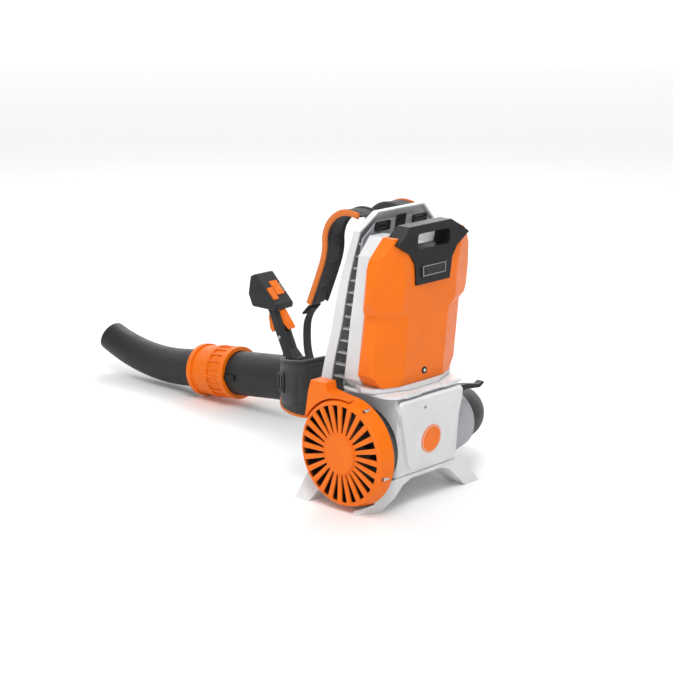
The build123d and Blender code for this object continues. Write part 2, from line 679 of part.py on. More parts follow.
for side_name, side in (("left", -1), ("right", 1)):
    with BuildPart() as shoulder_pad:
        add(side_ribbon(PAD_ROUTE, PAD_RADII, PAD_WIDTH, PAD_THICKNESS, side * PAD_X))
    shoulder_pad.part.label = f"shoulder_pad_{side_name}"
    export_step(shoulder_pad.part, f"parts/shoulder_pad_{side_name}.step")

    with BuildPart() as shoulder_web:
        add(side_ribbon(WEB_ROUTE, WEB_RADII, 25, 2, side * PAD_X))
    shoulder_web.part.label = f"shoulder_web_{side_name}"
    export_step(shoulder_web.part, f"parts/shoulder_web_{side_name}.step")

    # hip pad: wraps forward from the foot of the back frame
    with BuildPart() as hip_pad:
        with BuildLine(Plane.XY.offset(228)) as line:
            FilletPolyline(
                (side * 40, 136.5), (side * 118, 140), (side * 142, 182), (side * 122, 236), (side * 82, 264),
                radius=[30, 40, 36],
            )
        start = Plane(origin=line.line @ 0, x_dir=(0, 0, 1), z_dir=line.line % 0)
        with BuildSketch(start):
            Rectangle(136, 15)
        sweep(path=line.line)
    hip_pad.part.label = f"hip_pad_{side_name}"
    export_step(hip_pad.part, f"parts/hip_pad_{side_name}.step")

with BuildPart() as back_pad:
    with BuildSketch(Plane.YZ):
        with BuildLine():
            Spline((104, 316), (84, 384), (71, 448), (52, 515), (34, 566))
            Polyline((34, 566), (50, 572))
            Spline((50, 572), (70, 522), (89, 452), (102, 388), (121, 321))
            Polyline((121, 321), (104, 316))
        make_face()
    extrude(amount=88, both=True)
back_pad.part.label = "back_pad"
export_step(back_pad.part, "parts/back_pad.step")

with BuildPart() as strap_adjusters:
    for side in (-1, 1):
        ladder = Plane(origin=(side * PAD_X, 192.4, 390), x_dir=(1, 0, 0), z_dir=(0, 0.72, 0.69))
        with BuildSketch(ladder):
            RectangleRounded(40, 30, 4)
            with Locations((0, 7), (0, -7)):
                Rectangle(28, 5, mode=Mode.SUBTRACT)
        extrude(amount=4)
strap_adjusters.part.label = "strap_adjusters"
export_step(strap_adjusters.part, "parts/strap_adjusters.step")

with BuildPart() as hip_buckles:
    for side in (-1, 1):
        ladder = Plane(
            origin=(side * 140.4, 212, 236), x_dir=(-0.347 * side, 0.938, 0), z_dir=(0.938 * side, 0.347, 0)
        )
        with BuildSketch(ladder):
            RectangleRounded(30, 44, 4)
            with Locations((7, 0), (-7, 0)):
                Rectangle(5, 32, mode=Mode.SUBTRACT)
        extrude(amount=4)
hip_buckles.part.label = "hip_buckles"
export_step(hip_buckles.part, "parts/hip_buckles.step")

# ---------------------------------------------------------------- elbow and hose
def elbow_body(radius, start_x, end_y):
    """Bend from +X to +Y, with straight ends."""
    bend_x = TUBE_X - ELBOW_BEND_R
    with BuildPart() as bend:
        with BuildSketch(x_disc(start_x)):
            Circle(radius)
        extrude(amount=bend_x - start_x)
        with BuildSketch(x_disc(bend_x)):
            Circle(radius)
        revolve(axis=Axis((bend_x, ELBOW_BEND_R, FAN_Z), (0, 0, 1)), revolution_arc=90)
        with BuildSketch(Plane(origin=(TUBE_X, ELBOW_BEND_R, FAN_Z), x_dir=(1, 0, 0), z_dir=(0, 1, 0))):
            Circle(radius)
        extrude(amount=end_y - ELBOW_BEND_R)
    return bend.part


with BuildPart() as outlet_elbow:
    add(elbow_body(TUBE_R, RIM_X + GAP, HOSE_START_Y))
    with BuildSketch(x_disc(RIM_X - 22)):
        Circle(51.9)
    extrude(amount=24)
    add(elbow_body(TUBE_R - TUBE_WALL - 4, RIM_X - 30, HOSE_START_Y + 5), mode=Mode.SUBTRACT)
outlet_elbow.part.label = "outlet_elbow"
export_step(outlet_elbow.part, "parts/outlet_elbow.step")

HOSE_CENTRE = (HOSE_START_Y, FAN_Z - HOSE_BEND_R)
HOSE_WEDGE = tan(radians(9.5))
HOSE_SPLIT_Y = HOSE_MID[0]


def hose_half(start_angle, wedge_side):
    """Half of the hose, its mid end relieved to let the hose bend sideways."""
    with BuildPart() as half:
        with BuildLine(Plane.YZ.offset(TUBE_X)) as line:
            CenterArc(HOSE_CENTRE, HOSE_BEND_R, start_angle, -TUBE_DROP / 2)
        start = Plane(origin=line.line @ 0, x_dir=(1, 0, 0), z_dir=line.line % 0)
        with BuildSketch(start):
            Circle(HOSE_R)
            Circle(HOSE_R - WALL, mode=Mode.SUBTRACT)
        sweep(path=line.line)
        tip_y = HOSE_SPLIT_Y - wedge_side * GAP
        wide_y = tip_y - wedge_side * 70 * HOSE_WEDGE
        far_y = HOSE_SPLIT_Y + wedge_side * 60
        with BuildSketch(Plane.XY):
            Polygon(
                (TUBE_X, tip_y), (TUBE_X + 70, wide_y), (TUBE_X + 70, far_y), (TUBE_X - 70, far_y),
                (TUBE_X - 70, wide_y), align=None,
            )
        extrude(amount=300, mode=Mode.SUBTRACT)
    return half.part


with BuildPart() as hose_rear:
    add(hose_half(90, 1))
hose_rear.part.label = "hose_rear"
export_step(hose_rear.part, "parts/hose_rear.step")

with BuildPart() as hose_front:
    add(hose_half(90 - TUBE_DROP / 2, -1))
hose_front.part.label = "hose_front"
export_step(hose_front.part, "parts/hose_front.step")

# ---------------------------------------------------------------- blow tube
def along_tube(s):
    """Plane across the blow tube, s from its start."""
    return TUBE.offset(s)


with BuildPart() as main_tube:
    with BuildSketch(TUBE):
        Circle(TUBE_R)
        Circle(TUBE_R - TUBE_WALL, mode=Mode.SUBTRACT)
    extrude(amount=TUBE_LENGTH)
main_tube.part.label = "main_tube"
export_step(main_tube.part, "parts/main_tube.step")

with BuildPart() as tube_cuff:
    with BuildSketch(along_tube(-34)):
        Circle(TUBE_R + 1.6)
        Circle(HOSE_R + 0.2, mode=Mode.SUBTRACT)
    extrude(amount=33.8)
    chamfer(tube_cuff.faces().sort_by(Axis.Y)[0].edges().sort_by(SortBy.LENGTH)[-1], length=1.5)
tube_cuff.part.label = "tube_cuff"
export_step(tube_cuff.part, "parts/tube_cuff.step")

with BuildPart() as collar:
    with BuildSketch(along_tube(COLLAR_START)):
        Circle(COLLAR_R - 4)
        Circle(TUBE_R + 1, mode=Mode.SUBTRACT)
    extrude(amount=COLLAR_END - COLLAR_START)
    for band_start, band_length in ((0, 16), (58, 14), (COLLAR_END - COLLAR_START - 14, 14)):
        with BuildSketch(along_tube(COLLAR_START + band_start)):
            Circle(COLLAR_R)
            Circle(COLLAR_R - 5, mode=Mode.SUBTRACT)
        extrude(amount=band_length)
    with BuildSketch(along_tube(COLLAR_START + 16)):
        with PolarLocations(COLLAR_R - 3, 20):
            Rectangle(5, 5)
    extrude(amount=42)
collar.part.label = "collar"
export_step(collar.part, "parts/collar.step")

with BuildPart() as collar_hook:
    with BuildSketch(Plane(TUBE.offset(COLLAR_START - 40).origin, x_dir=TUBE.z_dir, z_dir=(-1, 0, 0))):
        with Locations((22, 0)):
            RectangleRounded(36, 16, 3)
    extrude(amount=TUBE_R + 5)
    with BuildSketch(along_tube(COLLAR_START - 60)):
        Circle(TUBE_R + 0.1)
    extrude(amount=80, mode=Mode.SUBTRACT)
collar_hook.part.label = "collar_hook"
export_step(collar_hook.part, "parts/collar_hook.step")

NOZZLE_ROOT_R = TUBE_R - 0.6
NOZZLE_WALL = 2.6
NOZZLE_BORE_R, NOZZLE_BORE_DEPTH = 38.2, 21.0


def nozzle_plane(s):
    """Plane across the nozzle, s from the start of the blow tube: straight, then bending up."""
    bend = max(0.0, s - NOZZLE_STRAIGHT) / NOZZLE_BEND_R
    straight = min(s, NOZZLE_STRAIGHT)
    tilt = bend - drop
    y = TUBE.origin.Y + straight * cos(drop) + NOZZLE_BEND_R * (sin(tilt) + sin(drop))
    z = TUBE.origin.Z - straight * sin(drop) + NOZZLE_BEND_R * (cos(drop) - cos(tilt))
    return Plane(origin=(TUBE_X, y, z), x_dir=(1, 0, 0), z_dir=(0, cos(tilt), sin(tilt)))


NOZZLE_END = NOZZLE_STRAIGHT + NOZZLE_BEND_R * radians(NOZZLE_TIP_ANGLE + TUBE_DROP)
NOZZLE_STATIONS = 7


def nozzle_radius(s):
    """Outside radius: steps down past the collar, then an even taper to the tip."""
    taper = (s - COLLAR_END) / (NOZZLE_END - COLLAR_END)
    return 50.0 + (NOZZLE_TIP_R - 50.0) * taper


with BuildPart() as nozzle:
    with BuildSketch(along_tube(TUBE_LENGTH + 2)):
        Circle(NOZZLE_ROOT_R)
        Circle(NOZZLE_ROOT_R - NOZZLE_WALL - 1, mode=Mode.SUBTRACT)
    extrude(amount=COLLAR_END - TUBE_LENGTH - 6)
    with BuildSketch(along_tube(COLLAR_END - 8)):
        Circle(NOZZLE_ROOT_R)
    with BuildSketch(nozzle_plane(COLLAR_END + 6)):
        Circle(nozzle_radius(COLLAR_END + 6))
    loft()
    stations = [
        COLLAR_END + 6 + (NOZZLE_END - COLLAR_END - 6) * step / (NOZZLE_STATIONS - 1)
        for step in range(NOZZLE_STATIONS)
    ]
    for station in stations:
        with BuildSketch(nozzle_plane(station)):
            Circle(nozzle_radius(station))
    loft()
    with BuildSketch(along_tube(COLLAR_END - 9)):
        Circle(NOZZLE_ROOT_R - NOZZLE_WALL - 1)
    with BuildSketch(nozzle_plane(COLLAR_END + 6)):
        Circle(nozzle_radius(COLLAR_END + 6) - NOZZLE_WALL)
    loft(mode=Mode.SUBTRACT)
    for station in stations:
        with BuildSketch(nozzle_plane(station)):
            Circle(nozzle_radius(station) - NOZZLE_WALL)
    loft(mode=Mode.SUBTRACT)
    # true round bore at the tip, for attachments
    with BuildSketch(nozzle_plane(NOZZLE_END)):
        Circle(NOZZLE_BORE_R)
    extrude(amount=-NOZZLE_BORE_DEPTH, mode=Mode.SUBTRACT)
nozzle.part.label = "nozzle"
export_step(nozzle.part, "parts/nozzle.step")

# ---------------------------------------------------------------- control handle
grip_lean = radians(GRIP_LEAN)
GRIP_ROOT = (TUBE_X, TUBE_START[1] - 2, TUBE_START[2] + 36)
# z up the grip, y towards the front of the grip
GRIP = Plane(origin=GRIP_ROOT, x_dir=(1, 0, 0), z_dir=(0, sin(grip_lean), cos(grip_lean)))
GRIP_LENGTH = 152.0
GRIP_HALF_X, GRIP_DEPTH = 16.0, 36.0
grip_top = GRIP.offset(GRIP_LENGTH).origin
# side view in the grip's own frame: x forward, y up the grip
GRIP_SIDE = Plane(origin=GRIP.origin, x_dir=GRIP.y_dir, z_dir=GRIP.x_dir)
LEVER_WIDTH, PIN_R = 16.0, 1.5
TRIGGER_PIVOT, LOCK_PIVOT = (16, GRIP_LENGTH - 14), (-16, GRIP_LENGTH - 14)


def grip_bar():
    """Hand grip with a flared root saddled on the blow tube."""
    with BuildPart() as bar:
        with BuildSketch(GRIP):
            RectangleRounded(44, 58, 14)
        with BuildSketch(GRIP.offset(38)):
            RectangleRounded(2 * GRIP_HALF_X, GRIP_DEPTH, 12)
        loft()
        with BuildSketch(GRIP.offset(38)):
            RectangleRounded(2 * GRIP_HALF_X, GRIP_DEPTH, 12)
        extrude(amount=GRIP_LENGTH - 26)
        with BuildSketch(Plane.XY.offset(grip_top.Z - 2)):
            with Locations((TUBE_X, grip_top.Y)):
                Rectangle(120, 120)
        extrude(amount=60, mode=Mode.SUBTRACT)
        with BuildSketch(along_tube(-60)):
            Circle(TUBE_R + 2)
        extrude(amount=160, mode=Mode.SUBTRACT)
        # seats for the trigger in front and the lock lever behind
        with BuildSketch(GRIP.offset(GRIP_LENGTH - 68)):
            with Locations((0, GRIP_DEPTH / 2 - 3), (0, -GRIP_DEPTH / 2 + 3)):
                Rectangle(LEVER_WIDTH + 1, 14)
        extrude(amount=62, mode=Mode.SUBTRACT)
        with BuildSketch(GRIP_SIDE):
            with Locations(TRIGGER_PIVOT, LOCK_PIVOT):
                Circle(PIN_R)
        extrude(amount=LEVER_WIDTH / 2 + 3, both=True, mode=Mode.SUBTRACT)
    return bar.part


GRIP_SPLIT = Plane.YZ.offset(TUBE_X)
with BuildPart() as grip_right:
    add(grip_bar())
    split(bisect_by=GRIP_SPLIT, keep=Keep.TOP)
grip_right.part.label = "grip_right"
export_step(grip_right.part, "parts/grip_right.step")

with BuildPart() as grip_left:
    add(grip_bar())
    split(bisect_by=GRIP_SPLIT, keep=Keep.BOTTOM)
grip_left.part.label = "grip_left"
export_step(grip_left.part, "parts/grip_left.step")

HEAD_HALF = 31.0
# side view of the control head in the (y, z) plane, relative to the top of the grip
HEAD_OUTLINE = [(-32, -2), (-34, 12), (38, 82), (56, 74), (64, 28), (50, -2)]
HEAD_SIDE = Plane(origin=(TUBE_X, grip_top.Y, grip_top.Z), x_dir=(0, 1, 0), z_dir=(1, 0, 0))
PANEL_START, PANEL_END = (-34, 12), (38, 82)
panel_run = (PANEL_END[0] - PANEL_START[0], PANEL_END[1] - PANEL_START[1])
panel_length = (panel_run[0] ** 2 + panel_run[1] ** 2) ** 0.5
# control panel face: x across, y up the panel, z out of it
PANEL = Plane(
    origin=(TUBE_X, grip_top.Y + PANEL_START[0], grip_top.Z + PANEL_START[1]), x_dir=(1, 0, 0),
    z_dir=(0, -panel_run[1], panel_run[0]),
)
ROCKER_AT, ROCKER_SIZE = (7, 50), (26, 42)
BOOST_AT, BOOST_SIZE = (-18, 35), (17, 36)
LED_X, LED_PITCH, LED_COUNT = 25.0, 7.0, 4

with BuildPart() as control_head:
    with BuildSketch(HEAD_SIDE):
        Polygon(*HEAD_OUTLINE, align=None)
    extrude(amount=HEAD_HALF, both=True)
    fillet(control_head.edges().filter_by(Axis.X), radius=7)
    fillet(control_head.faces().sort_by(Axis.X)[0].edges(), radius=4)
    fillet(control_head.faces().sort_by(Axis.X)[-1].edges(), radius=4)
    with BuildSketch(PANEL.offset(-9)):
        with Locations(ROCKER_AT):
            RectangleRounded(ROCKER_SIZE[0] + 2, ROCKER_SIZE[1] + 2, 3)
        with Locations(BOOST_AT):
            RectangleRounded(BOOST_SIZE[0] + 2, BOOST_SIZE[1] + 2, 3)
    extrude(amount=20, mode=Mode.SUBTRACT)
    with BuildSketch(PANEL.offset(-1)):
        with Locations((LED_X, 48)):
            with GridLocations(1, LED_PITCH, 1, LED_COUNT):
                Circle(1.7)
    extrude(amount=4, mode=Mode.SUBTRACT)
control_head.part.label = "control_head"
export_step(control_head.part, "parts/control_head.step")

with BuildPart() as status_lights:
    with BuildSketch(PANEL.offset(-1)):
        with Locations((LED_X, 48)):
            with GridLocations(1, LED_PITCH, 1, LED_COUNT):
                Circle(1.7)
    extrude(amount=1.3)
status_lights.part.label = "status_lights"
export_step(status_lights.part, "parts/status_lights.step")

# rocker: dished plate that tilts about a cross axis under its middle
with BuildPart() as speed_rocker:
    with BuildSketch(PANEL.offset(-3.5)):
        with Locations(ROCKER_AT):
            RectangleRounded(*ROCKER_SIZE, 2.5)
    extrude(amount=5.5)
    dish = PANEL.from_local_coords((*ROCKER_AT, 26))
    with Locations(Plane(dish, x_dir=PANEL.x_dir, z_dir=PANEL.z_dir)):
        Cylinder(24.6, 60, rotation=(0, 90, 0), mode=Mode.SUBTRACT)
speed_rocker.part.label = "speed_rocker"
export_step(speed_rocker.part, "parts/speed_rocker.step")

with BuildPart() as boost_button:
    with BuildSketch(PANEL.offset(-6)):
        with Locations(BOOST_AT):
            RectangleRounded(*BOOST_SIZE, 2.5)
    extrude(amount=9)
    fillet(boost_button.faces().sort_by(Axis(PANEL.origin, PANEL.z_dir))[-1].edges(), radius=1.2)
boost_button.part.label = "boost_button"
export_step(boost_button.part, "parts/boost_button.step")


def lever(outline, pivot):
    """Pressed lever in the side view of the grip, with an eye for its pin."""
    with BuildPart() as pressed:
        with BuildSketch(GRIP_SIDE):
            Polygon(*((x, GRIP_LENGTH + y) for x, y in outline), align=None)
            with Locations(pivot):
                Circle(3.4)
                Circle(PIN_R + 0.1, mode=Mode.SUBTRACT)
        extrude(amount=LEVER_WIDTH / 2, both=True)
    return pressed.part


with BuildPart() as throttle_trigger:
    add(lever([(15.5, -17), (19, -11.5), (24, -14), (33, -44), (31, -56), (22, -53), (15.5, -36)], TRIGGER_PIVOT))
throttle_trigger.part.label = "throttle_trigger"
export_step(throttle_trigger.part, "parts/throttle_trigger.step")

with BuildPart() as lock_lever:
    add(lever([(-15.5, -17), (-19, -11.5), (-25, -15), (-34, -50), (-37, -66), (-27, -67), (-15.5, -46)], LOCK_PIVOT))
lock_lever.part.label = "lock_lever"
export_step(lock_lever.part, "parts/lock_lever.step")

with BuildPart() as lever_pins:
    with BuildSketch(GRIP_SIDE):
        with Locations(TRIGGER_PIVOT, LOCK_PIVOT):
            Circle(PIN_R)
    extrude(amount=LEVER_WIDTH / 2 + 2.8, both=True)
lever_pins.part.label = "lever_pins"
export_step(lever_pins.part, "parts/lever_pins.step")

with BuildPart() as grip_screw:
    screw_seat = GRIP.from_local_coords((-GRIP_HALF_X, 4, GRIP_LENGTH - 76))
    with BuildSketch(Plane(origin=screw_seat, x_dir=(0, 1, 0), z_dir=(-1, 0, 0))):
        Circle(4)
        RegularPolygon(1.8, 6, mode=Mode.SUBTRACT)
    extrude(amount=1.4)
grip_screw.part.label = "grip_screw"
export_step(grip_screw.part, "parts/grip_screw.step")
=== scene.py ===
"""Looks for the backpack leaf blower: materials for the moulded parts, padded harness, pleated hose."""
import json
import math

import bpy
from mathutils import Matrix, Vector


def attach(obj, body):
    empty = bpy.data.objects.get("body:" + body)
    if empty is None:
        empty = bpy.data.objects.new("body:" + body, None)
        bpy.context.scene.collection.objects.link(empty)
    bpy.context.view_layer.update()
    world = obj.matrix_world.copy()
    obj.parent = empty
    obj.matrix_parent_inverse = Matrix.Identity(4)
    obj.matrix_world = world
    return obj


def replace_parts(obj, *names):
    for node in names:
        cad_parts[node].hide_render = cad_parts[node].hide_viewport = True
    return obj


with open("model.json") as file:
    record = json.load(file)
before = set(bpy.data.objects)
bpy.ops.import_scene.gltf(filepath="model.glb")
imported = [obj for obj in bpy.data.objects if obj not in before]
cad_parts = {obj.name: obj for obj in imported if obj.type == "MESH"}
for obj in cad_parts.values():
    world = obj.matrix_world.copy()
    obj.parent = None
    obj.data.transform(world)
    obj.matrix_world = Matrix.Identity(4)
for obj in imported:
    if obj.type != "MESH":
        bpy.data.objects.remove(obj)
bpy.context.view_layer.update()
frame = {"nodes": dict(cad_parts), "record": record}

NODES = frame["nodes"]
X_AXIS, Z_AXIS = Vector((1, 0, 0)), Vector((0, 0, 1))

# ---------------------------------------------------------------- camera, floor and light
CAMERA_AZIMUTH, CAMERA_ELEVATION = math.radians(-47.35), math.radians(14.01)
CAMERA_DISTANCE, CAMERA_LENS = 4.2446, 101.64
CAMERA_AIM = Vector((0.022, 0.200, 0.311))

camera_data = bpy.data.cameras.new("camera")
camera_data.lens = CAMERA_LENS
camera_data.sensor_width = 36
camera = bpy.data.objects.new("camera", camera_data)
bpy.context.scene.collection.objects.link(camera)
towards_camera = Vector((
    math.sin(CAMERA_AZIMUTH) * math.cos(CAMERA_ELEVATION),
    -math.cos(CAMERA_AZIMUTH) * math.cos(CAMERA_ELEVATION),
    math.sin(CAMERA_ELEVATION),
))
camera.location = CAMERA_AIM + CAMERA_DISTANCE * towards_camera
camera.rotation_euler = towards_camera.to_track_quat("Z", "Y").to_euler()
bpy.context.scene.camera = camera


def plane_mesh(name, half):
    """Flat square on the ground."""
    mesh = bpy.data.meshes.new(name)
    corners = [(-half, -half, 0), (half, -half, 0), (half, half, 0), (-half, half, 0)]
    mesh.from_pydata(corners, [], [(0, 1, 2, 3)])
    square = bpy.data.objects.new(name, mesh)
    bpy.context.scene.collection.objects.link(square)
    return square


def area_light(name, location, aim, size, power):
    """Soft square light aimed at a point."""
    data = bpy.data.lights.new(name, "AREA")
    data.size, data.energy = size, power
    light = bpy.data.objects.new(name, data)
    light.location = location
    light.rotation_euler = (Vector(location) - Vector(aim)).to_track_quat("Z", "Y").to_euler()
    bpy.context.scene.collection.objects.link(light)


STAGE_HALF, BACKDROP_DISTANCE = 30, 9
floor = plane_mesh("floor", STAGE_HALF)
backdrop = plane_mesh("backdrop", STAGE_HALF)
backdrop.location = Vector((-math.sin(CAMERA_AZIMUTH), math.cos(CAMERA_AZIMUTH), 0)) * BACKDROP_DISTANCE
backdrop.rotation_euler = (math.radians(90), 0, CAMERA_AZIMUTH)
backdrop_material = bpy.data.materials.new("backdrop")
backdrop_material.use_nodes = True
backdrop_shader = backdrop_material.node_tree.nodes["Principled BSDF"]
backdrop_shader.inputs["Emission Color"].default_value = (1, 1, 1, 1)
backdrop_shader.inputs["Emission Strength"].default_value = 1.0
backdrop.data.materials.append(backdrop_material)
floor_material = bpy.data.materials.new("floor")
floor_material.use_nodes = True
floor_shader = floor_material.node_tree.nodes["Principled BSDF"]
floor_shader.inputs["Base Color"].default_value = (0.90, 0.90, 0.90, 1)
floor_shader.inputs["Roughness"].default_value = 0.65
floor.data.materials.append(floor_material)

world = bpy.data.worlds.new("studio")
world.use_nodes = True
world.node_tree.nodes["Background"].inputs["Color"].default_value = (1, 1, 1, 1)
world.node_tree.nodes["Background"].inputs["Strength"].default_value = 0.50
bpy.context.scene.world = world
bpy.context.scene.view_settings.view_transform = "Standard"
area_light("key", (-1.2, -0.9, 3.2), (0, 0.3, 0.3), 1.5, 66)
area_light("fill", (-3.4, -1.6, 1.2), (0, 0.2, 0.3), 1.6, 16)
area_light("back", (2.4, 2.4, 2.6), (0, 0.2, 0.3), 1.6, 34)


# ---------------------------------------------------------------- materials
def add_node(tree, kind, inputs=(), **settings):
    """New shader node with its settings and constant inputs."""
    made = tree.nodes.new(kind)
    for key, value in settings.items():
        setattr(made, key, value)
    for key, value in dict(inputs).items():
        made.inputs[key].default_value = value
    return made


def start_material(name, roughness):
    """Material, its node tree, its shader and the object coordinates."""
    material = bpy.data.materials.new(name)
    material.use_nodes = True
    tree = material.node_tree
    shader = tree.nodes["Principled BSDF"]
    shader.inputs["Roughness"].default_value = roughness
    coords = add_node(tree, "ShaderNodeTexCoord").outputs["Object"]
    return material, tree, shader, coords


def noise(tree, coords, scale, detail=2.0):
    made = add_node(tree, "ShaderNodeTexNoise", {"Scale": scale, "Detail": detail})
    tree.links.new(coords, made.inputs["Vector"])
    return made.outputs["Fac"]


def spread(tree, value, low, high):
    """Maps 0.3..0.7 of a noise to low..high."""
    made = add_node(
        tree, "ShaderNodeMapRange", {"From Min": 0.3, "From Max": 0.7, "To Min": low, "To Max": high}
    )
    tree.links.new(value, made.inputs["Value"])
    return made.outputs["Result"]


def blend_colours(tree, factor, first, second):
    made = add_node(tree, "ShaderNodeMix", data_type="RGBA")
    tree.links.new(factor, made.inputs["Factor"])
    for socket, value in ((made.inputs[6], first), (made.inputs[7], second)):
        if isinstance(value, tuple):
            socket.default_value = (*value, 1)
        else:
            tree.links.new(value, socket)
    return made.outputs[2]


def bump(tree, height, distance, normal=None):
    made = add_node(tree, "ShaderNodeBump", {"Distance": distance, "Strength": 1.0})
    tree.links.new(height, made.inputs["Height"])
    if normal:
        tree.links.new(normal, made.inputs["Normal"])
    return made.outputs["Normal"]


def shade(colour, factor):
    return tuple(min(1.0, part * factor) for part in colour)


def rounded_normal(tree, radius):
    """Normals rounded over the edges, and a mask of those edges for wear."""
    bevel = add_node(tree, "ShaderNodeBevel", {"Radius": radius}, samples=4)
    geometry = add_node(tree, "ShaderNodeNewGeometry")
    dot = add_node(tree, "ShaderNodeVectorMath", operation="DOT_PRODUCT")
    tree.links.new(bevel.outputs["Normal"], dot.inputs[0])
    tree.links.new(geometry.outputs["Normal"], dot.inputs[1])
    mask = add_node(
        tree, "ShaderNodeMapRange", {"From Min": 0.985, "From Max": 0.86, "To Min": 0.0, "To Max": 1.0}
    )
    tree.links.new(dot.outputs["Value"], mask.inputs["Value"])
    return bevel.outputs["Normal"], mask.outputs["Result"]


PLASTIC_EDGE, METAL_EDGE = 0.0012, 0.0006
FABRIC_CELLS = 420.0
RADIANS_PER_TURN = 6.2832


def moulded_plastic(name, colour, roughness, grain=0.00006, wear=0.35, coat=0.0, pits=1500.0):
    """Injection-moulded plastic: fine grain, faint mottling, rounded and slightly rubbed edges."""
    material, tree, shader, coords = start_material(name, roughness)
    normal, edges = rounded_normal(tree, PLASTIC_EDGE)
    mottled = blend_colours(
        tree, spread(tree, noise(tree, coords, 14, 4), 0, 1), shade(colour, 0.95), shade(colour, 1.04)
    )
    scuffs = noise(tree, coords, 120, 6)
    rubbed = add_node(tree, "ShaderNodeMath", operation="MULTIPLY")
    tree.links.new(edges, rubbed.inputs[0])
    tree.links.new(spread(tree, scuffs, 0.0, wear), rubbed.inputs[1])
    pale = tuple(0.6 * part + 0.22 for part in colour)
    tree.links.new(blend_colours(tree, rubbed.outputs[0], mottled, pale), shader.inputs["Base Color"])
    uneven = spread(tree, noise(tree, coords, 45, 5), roughness - 0.05, roughness + 0.07)
    tree.links.new(uneven, shader.inputs["Roughness"])
    tree.links.new(bump(tree, noise(tree, coords, pits, 1), grain, normal), shader.inputs["Normal"])
    shader.inputs["Specular IOR Level"].default_value = 0.25
    shader.inputs["Coat Weight"].default_value = coat
    shader.inputs["Coat Roughness"].default_value = 0.25
    return material


def metal(name, colour, roughness, brush=(900, 900, 60)):
    """Plated or cast metal with fine brushing."""
    material, tree, shader, coords = start_material(name, roughness)
    shader.inputs["Metallic"].default_value = 1.0
    shader.inputs["Base Color"].default_value = (*colour, 1)
    stretch = add_node(tree, "ShaderNodeMapping", {"Scale": brush})
    tree.links.new(coords, stretch.inputs["Vector"])
    lines = noise(tree, stretch.outputs["Vector"], 1.0, 3)
    normal, _ = rounded_normal(tree, METAL_EDGE)
    tree.links.new(bump(tree, lines, 0.00004, normal), shader.inputs["Normal"])
    tree.links.new(spread(tree, lines, roughness - 0.06, roughness + 0.1), shader.inputs["Roughness"])
    return material


def spacer_fabric(name, colour):
    """Padded mesh fabric: small open cells darkened with painted shade, a soft fuzz and uneven dye."""
    material, tree, shader, coords = start_material(name, 0.9)
    cells = add_node(tree, "ShaderNodeTexVoronoi", {"Scale": FABRIC_CELLS, "Randomness": 0.35})
    tree.links.new(coords, cells.inputs["Vector"])
    varied_tone = blend_colours(
        tree, spread(tree, noise(tree, coords, 22, 4), 0, 1), shade(colour, 0.75), shade(colour, 1.3)
    )
    # painted shade: the open cells are darkened to about a third of the colour, as shade inside them
    hole_shade = add_node(
        tree, "ShaderNodeMapRange", {"From Min": 0.15, "From Max": 0.6, "To Min": 1, "To Max": 0}
    )
    tree.links.new(cells.outputs["Distance"], hole_shade.inputs["Value"])
    dye_and_hole_shade = blend_colours(tree, hole_shade.outputs["Result"], varied_tone, shade(colour, 0.35))
    tree.links.new(dye_and_hole_shade, shader.inputs["Base Color"])
    height = add_node(tree, "ShaderNodeMath", operation="ADD")
    tree.links.new(cells.outputs["Distance"], height.inputs[0])
    tree.links.new(spread(tree, noise(tree, coords, 2600, 2), 0, 0.3), height.inputs[1])
    tree.links.new(bump(tree, height.outputs[0], 0.0007), shader.inputs["Normal"])
    shader.inputs["Sheen Weight"].default_value = 0.25
    shader.inputs["Sheen Roughness"].default_value = 0.5
    return material


def woven_tape(name, colour, across="X", ribs=900.0):
    """Webbing: lengthwise ribs crossed by a fine weft, with painted highlight on the ribs and painted shade
    between them.
    """
    material, tree, shader, coords = start_material(name, 0.72)
    warp = add_node(
        tree, "ShaderNodeTexWave", {"Scale": ribs / RADIANS_PER_TURN, "Distortion": 0.6, "Detail": 1},
        wave_type="BANDS", bands_direction=across,
    )
    weft = add_node(
        tree, "ShaderNodeTexWave", {"Scale": 1.6 * ribs / RADIANS_PER_TURN, "Distortion": 0.8, "Detail": 1},
        wave_type="BANDS", bands_direction="DIAGONAL",
    )
    for wave in (warp, weft):
        tree.links.new(coords, wave.inputs["Vector"])
    both = add_node(tree, "ShaderNodeMath", {1: 0.5}, operation="MULTIPLY_ADD")
    tree.links.new(warp.outputs["Fac"], both.inputs[0])
    tree.links.new(weft.outputs["Fac"], both.inputs[2])
    # painted highlight and shade: the colour follows the rib height, lighter on the ribs and darker in the
    # grooves between them
    varied_tone = blend_colours(tree, both.outputs[0], shade(colour, 0.6), shade(colour, 1.5))
    tree.links.new(varied_tone, shader.inputs["Base Color"])
    tree.links.new(bump(tree, both.outputs[0], 0.00035), shader.inputs["Normal"])
    shader.inputs["Sheen Weight"].default_value = 0.15
    return material


ORANGE = (0.86, 0.165, 0.0)
WHITE = (0.70, 0.71, 0.72)
GREY = (0.36, 0.37, 0.39)
DARK = (0.022, 0.023, 0.025)
BLACK = (0.008, 0.008, 0.009)

